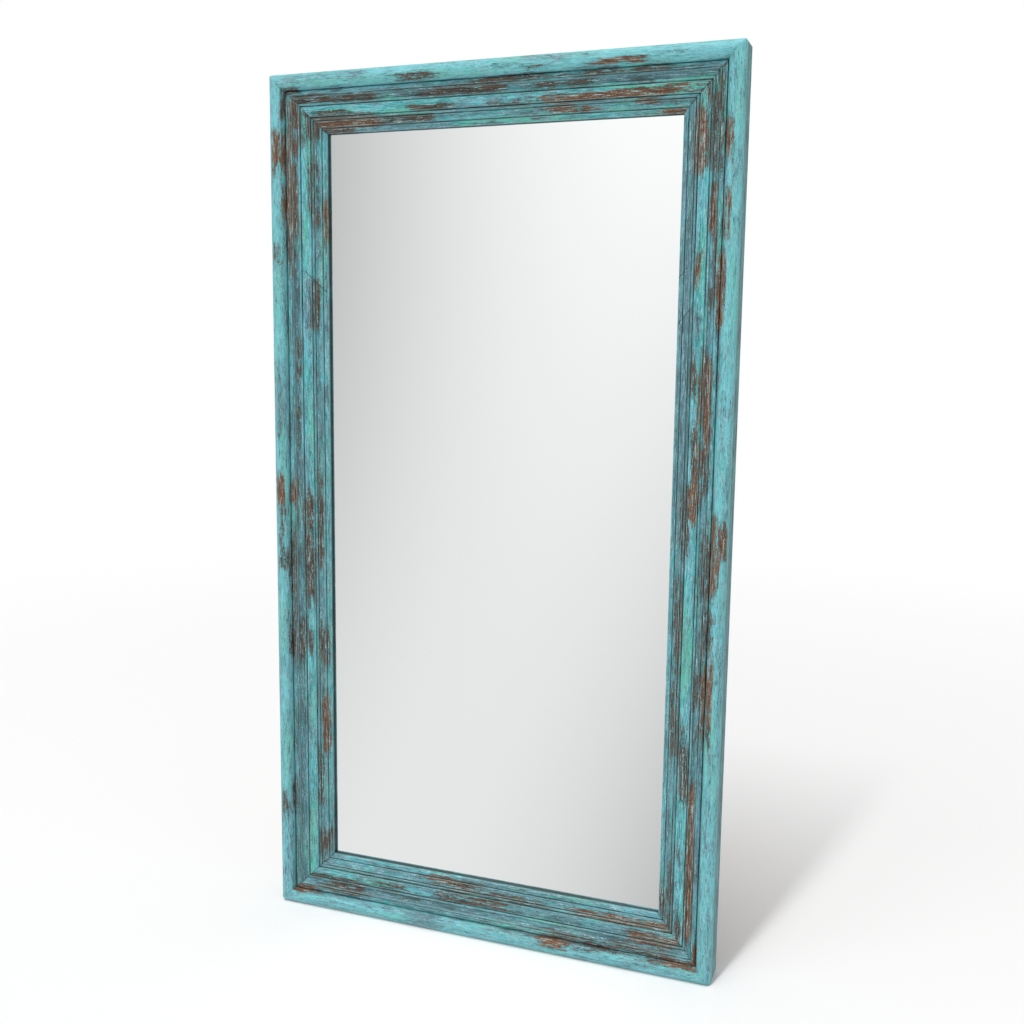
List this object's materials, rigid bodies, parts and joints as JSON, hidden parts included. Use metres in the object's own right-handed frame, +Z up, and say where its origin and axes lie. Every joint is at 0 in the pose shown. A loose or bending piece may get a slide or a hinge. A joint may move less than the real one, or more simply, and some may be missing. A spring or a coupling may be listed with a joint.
{
  "type": "floor mirror",
  "caption": "Tall rectangular floor mirror: glass in a stepped, mitred wooden frame with a rounded outer edge, distressed turquoise paint, braces and D-ring hangers behind.",
  "frame": {"origin": "on the floor, under the middle of the width and of the whole depth, wall bumpers included", "axes": "+X to the right as seen from the front, +Y towards the wall behind, +Z up; the glass faces -Y"},
  "size_m": [0.98, 0.0746, 1.8],
  "materials": {
    "painted_moulding": "distressed turquoise paint over brown wood",
    "biscuit": "pressed beech",
    "mirror_glass": "silvered float glass",
    "hardboard": "brown hardboard",
    "raw_pine": "planed pine, unpainted",
    "zinc_steel": "zinc plated",
    "rubber": "matt black rubber"
  },
  "bodies": {
    "frame": {"edge_moulding_top": "painted_moulding", "edge_moulding_bottom": "painted_moulding", "edge_moulding_left": "painted_moulding", "edge_moulding_right": "painted_moulding", "face_moulding_top": "painted_moulding", "face_moulding_bottom": "painted_moulding", "face_moulding_left": "painted_moulding", "face_moulding_right": "painted_moulding", "edge_biscuits": "biscuit", "face_biscuits": "biscuit", "mirror_glass": "mirror_glass", "setting_blocks": "rubber", "backing_board": "hardboard", "board_screws": "zinc_steel", "back_batten_left": "raw_pine", "back_batten_right": "raw_pine", "back_batten_top": "raw_pine", "back_batten_bottom": "raw_pine", "corner_brace_top_left": "zinc_steel", "corner_brace_top_right": "zinc_steel", "corner_brace_bottom_left": "zinc_steel", "corner_brace_bottom_right": "zinc_steel", "brace_screws": "zinc_steel", "hanger_strap_left": "zinc_steel", "hanger_strap_right": "zinc_steel", "hanger_screws": "zinc_steel", "bumper_top_left": "rubber", "bumper_top_right": "rubber", "bumper_bottom_left": "rubber", "bumper_bottom_right": "rubber"},
    "ring_left": {"hanger_ring_left": "zinc_steel"},
    "ring_right": {"hanger_ring_right": "zinc_steel"}
  },
  "joints": [
    {"name": "ring_left_swing", "type": "hinge", "parent": "frame", "child": "ring_left", "pos_m": [-0.428, 0.03225, 1.38], "axis": [1, 0, 0], "range_deg": [0, 180]},
    {"name": "ring_right_swing", "type": "hinge", "parent": "frame", "child": "ring_right", "pos_m": [0.428, 0.03225, 1.38], "axis": [1, 0, 0], "range_deg": [0, 180]}
  ]
}
